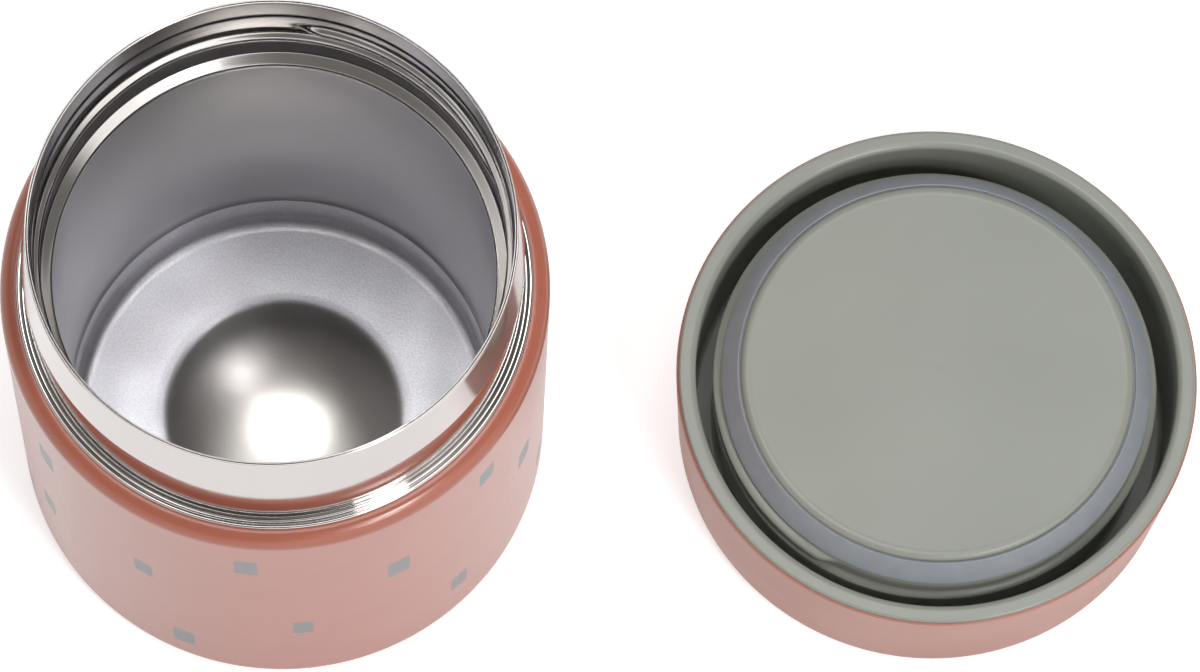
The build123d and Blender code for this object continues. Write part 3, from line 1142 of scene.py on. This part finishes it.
def hidden_metal(name, colour, rough, scale, depth):
    """Dull metal with an even grain, darker where the grain is low."""
    material, tree, place = start_material(name)
    grain = noise(tree, place["point"], scale, detail=3.0)
    dark = [DARK_SHARE * part for part in colour]
    dull = (rough - DULL_WANDER, rough + DULL_WANDER)
    shader_inputs = {
        "Base Color": mix_colour(tree, grain, (*dark, 1), (*colour, 1)),
        "Metallic": 1.0,
        "Roughness": ramp(tree, grain, *NOISE_SPREAD, *dull),
        "Normal": bump(tree, grain, depth),
    }
    return finish_material(material, tree, shader_inputs)


HIDDEN_METALS = [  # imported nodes, finish, colour, roughness, scale and depth of the grain
    (("outer_base_plate", "getter_bracket"), "rolled_plate", (0.55, 0.55, 0.55), 0.35, 900, 1e-5),
    (("vacuum_seal",), "braze", (0.55, 0.48, 0.33), 0.5, 700, 5e-5),
    (("radiation_foil",), "foil", (0.86, 0.86, 0.87), 0.2, 200, 8e-5),
    (("getter",), "getter", (0.3, 0.3, 0.32), 0.6, 3000, 6e-5),
]
for packed_nodes, finish, *look in HIDDEN_METALS:
    metal = hidden_metal(finish + "_finish", *look)
    for packed_node in packed_nodes:
        dress(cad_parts[packed_node], metal)

# %% [markdown]
# The foam that fills the plug is made of small beads pressed together. A Voronoi pattern gives
# them: the distance to the nearest bead's middle is both its height and a painted shade, darker
# where the beads meet.

# %% Bead foam
FOAM_WHITE = (0.86, 0.86, 0.84, 1)
# The darker foam colour is painted shade between the beads.
FOAM_CREASE_SHADE = (0.74, 0.74, 0.72, 1)


def bead_foam():
    """White foam whose bump follows the distance to the nearest bead's middle, and whose colour
    darkens with it as painted shade where the beads meet.
    """
    material, tree, place = start_material("foam_finish_and_painted_shade", lid_axis)
    pattern = node(tree, "TexVoronoi", {"Vector": place["point"], "Scale": 400.0})
    beads = pattern.outputs["Distance"]
    shader_inputs = {
        "Base Color": mix_colour(tree, beads, FOAM_WHITE, FOAM_CREASE_SHADE),
        "Roughness": 0.85,
        "Normal": bump(tree, beads, distance=0.0003),
    }
    return finish_material(material, tree, shader_inputs)


dress(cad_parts["lid_insulation"], bead_foam())

# %% [markdown]
# ## Floor
#
# The floor is matte, so it keeps the object's shadow, and it glows white where it is seen. Light
# Path tells a ray that is seen from a ray that only lights: the camera's rays and those that a
# mirror or a clear body sends on are seen, so polished steel shows the white floor too, a little
# dimmer than the camera sees it.

# %% Which rays are seen
def is_seen(tree, mirrored=1.0):
    """One for camera rays, a share for glossy and transmission rays, and zero for the rest."""
    path = node(tree, "LightPath").outputs
    glossy = calc(tree, "MAXIMUM", path["Is Glossy Ray"], path["Is Transmission Ray"])
    return calc(tree, "MAXIMUM", path["Is Camera Ray"], calc(tree, "MULTIPLY", glossy, mirrored))


# %% Floor
FLOOR_SIZE = 3.0
FLOOR_GAP = 0.0002  # keeps the floor's face apart from the faces that stand on it
FLOOR_COLOUR = (0.86, 0.86, 0.86, 1)
FLOOR_GLOW = 0.6
FLOOR_MIRRORED = 0.75
WHITE = (1, 1, 1, 1)
half = FLOOR_SIZE / 2
corners = [(-half, -half), (half, -half), (half, half), (-half, half)]
floor_mesh = bpy.data.meshes.new("studio_floor")
floor_mesh.from_pydata([(x, y, -FLOOR_GAP) for x, y in corners], [], [(0, 1, 2, 3)])
floor = bpy.data.objects.new("studio_floor", floor_mesh)
bpy.context.scene.collection.objects.link(floor)
floor_material = bpy.data.materials.new("studio_floor_finish")
floor_material.use_nodes = True
tree = floor_material.node_tree
tree.nodes.clear()
matte = node(tree, "BsdfDiffuse", {"Color": FLOOR_COLOUR})
strength = calc(tree, "MULTIPLY", is_seen(tree, FLOOR_MIRRORED), FLOOR_GLOW)
glow = node(tree, "Emission", {"Color": WHITE, "Strength": strength})
added = node(tree, "AddShader", {0: matte.outputs[0], 1: glow.outputs[0]})
node(tree, "OutputMaterial", {"Surface": added.outputs[0]})
dress(floor, floor_material)
print("floor", FLOOR_SIZE, "m wide, nodes", len(tree.nodes))

# %% [markdown]
# ## World
#
# The world is two pictures in one. Rays that only light the object get a soft grey that darkens
# overhead. Rays that are seen get white low down and dark grey overhead, which is what gives
# polished steel its drawing, with a brighter side in front on the right that reaches higher up and
# a dim side to the right.

# %% World: what is seen
OVERHEAD = (0.2, 0.5)  # upward part of a direction where the dark starts and is full
LIT_SIDE = (-50, 0.66, 0.82)  # azimuth in degrees, and the cosines where it starts and is full
LIT_REACH = 0.3
DIM_SIDE = (20, 0.66, 0.84)
LIT_WHITE = (1.5, 1.5, 1.48, 1)
DIM_GREY = (0.2, 0.2, 0.2, 1)
OVERHEAD_GREY = (0.21, 0.205, 0.195, 1)


def side_share(tree, direction, azimuth, start, full):
    """How far a direction lies towards a side: their dot product, from start at 0 to full at 1."""
    side = (math.cos(math.radians(azimuth)), math.sin(math.radians(azimuth)), 0)
    along = node(tree, "VectorMath", {0: direction, 1: side}, operation="DOT_PRODUCT")
    return ramp(tree, along.outputs["Value"], start, full)


world = bpy.data.worlds.new("studio_world")
bpy.context.scene.world = world
world.use_nodes = True
tree = world.node_tree
tree.nodes.clear()
direction = node(tree, "TexCoord").outputs["Generated"]
upward = node(tree, "SeparateXYZ", {0: direction}).outputs[2]
lit = side_share(tree, direction, *LIT_SIDE)
dim = side_share(tree, direction, *DIM_SIDE)
lowered = calc(tree, "SUBTRACT", upward, calc(tree, "MULTIPLY", lit, LIT_REACH))
seen_overhead = ramp(tree, lowered, *OVERHEAD, kind="SMOOTHSTEP")
side = mix_colour(tree, dim, mix_colour(tree, lit, WHITE, LIT_WHITE), DIM_GREY)
seen = mix_colour(tree, seen_overhead, side, OVERHEAD_GREY)
backdrop = node(tree, "Background", {"Color": seen, "Strength": 1.0})

# %% World: what lights the object, and the two together
LOW_LIGHT = (0.72, 0.72, 0.73, 1)
OVERHEAD_LIGHT = (0.12, 0.12, 0.125, 1)
overhead = ramp(tree, upward, *OVERHEAD, kind="SMOOTHSTEP")
lighting = mix_colour(tree, overhead, LOW_LIGHT, OVERHEAD_LIGHT)
fill = node(tree, "Background", {"Color": lighting, "Strength": 1.0})
chosen = node(tree, "MixShader", {0: is_seen(tree), 1: fill.outputs[0], 2: backdrop.outputs[0]})
node(tree, "OutputWorld", {"Surface": chosen.outputs[0]})
print("world nodes", len(tree.nodes))

# %% [markdown]
# ## Lamps
#
# Two small boxes stand close together in front on the right and draw the bright highlights. A large
# one hangs overhead, and a weak one stands behind on the left and lifts the shadows.

# %% Lamps
LAMP_DISTANCE = 1.6
LAMP_CENTRE_X = 0.05
SOFT_BOXES = [  # name, azimuth, elevation, width, height, power
    ("front_right_box", -60, 40, 0.3, 0.3, 4.4),
    ("high_right_box", -53, 53, 0.22, 0.22, 6.0),
    ("overhead_box", 90, 82, 0.8, 0.65, 8.0),
    ("back_left_box", 135, 50, 0.45, 0.45, 0.8),
]


def soft_box(name, azimuth, elevation, width, height, power):
    """Area lamp on a sphere round the object, facing it. Width runs round it. Angles in degrees."""
    lamp = bpy.data.lights.new(name, "AREA")
    lamp.shape = "RECTANGLE"
    lamp.size, lamp.size_y, lamp.energy = height, width, power
    holder = bpy.data.objects.new(name, lamp)
    bpy.context.scene.collection.objects.link(holder)
    around, above = math.radians(azimuth), math.radians(elevation)
    flat, up = LAMP_DISTANCE * math.cos(above), LAMP_DISTANCE * math.sin(above)
    holder.location = (LAMP_CENTRE_X + flat * math.cos(around), flat * math.sin(around), up)
    holder.rotation_euler = (0, math.pi / 2 - above, around)
    print(name, power, "W")


for box in SOFT_BOXES:
    soft_box(*box)

# %% [markdown]
# ## Camera
#
# It looks steeply down into the open jar through a long lens, so the ellipses stay nearly free of
# perspective. The shift moves the pair to the left of the frame without turning the camera.

# %% Camera
CAMERA_PLACE = (0.02545, -0.36815, 1.14817)
CAMERA_ELEVATION = 71.45
SENSOR_WIDTH = 36.0
LENS = 200.16
SIDE_SHIFT = 0.1458
camera_data = bpy.data.cameras.new("studio_camera")
camera_data.sensor_fit = "HORIZONTAL"
camera_data.sensor_width = SENSOR_WIDTH
camera_data.lens = LENS
camera_data.shift_x = SIDE_SHIFT
camera = bpy.data.objects.new("studio_camera", camera_data)
camera.location = CAMERA_PLACE
camera.rotation_euler = (math.radians(90 - CAMERA_ELEVATION), 0, 0)
bpy.context.scene.collection.objects.link(camera)
bpy.context.scene.camera = camera
bpy.context.scene.view_settings.view_transform = "Standard"
print("camera", CAMERA_ELEVATION, "degrees above the table,", LENS, "mm lens")
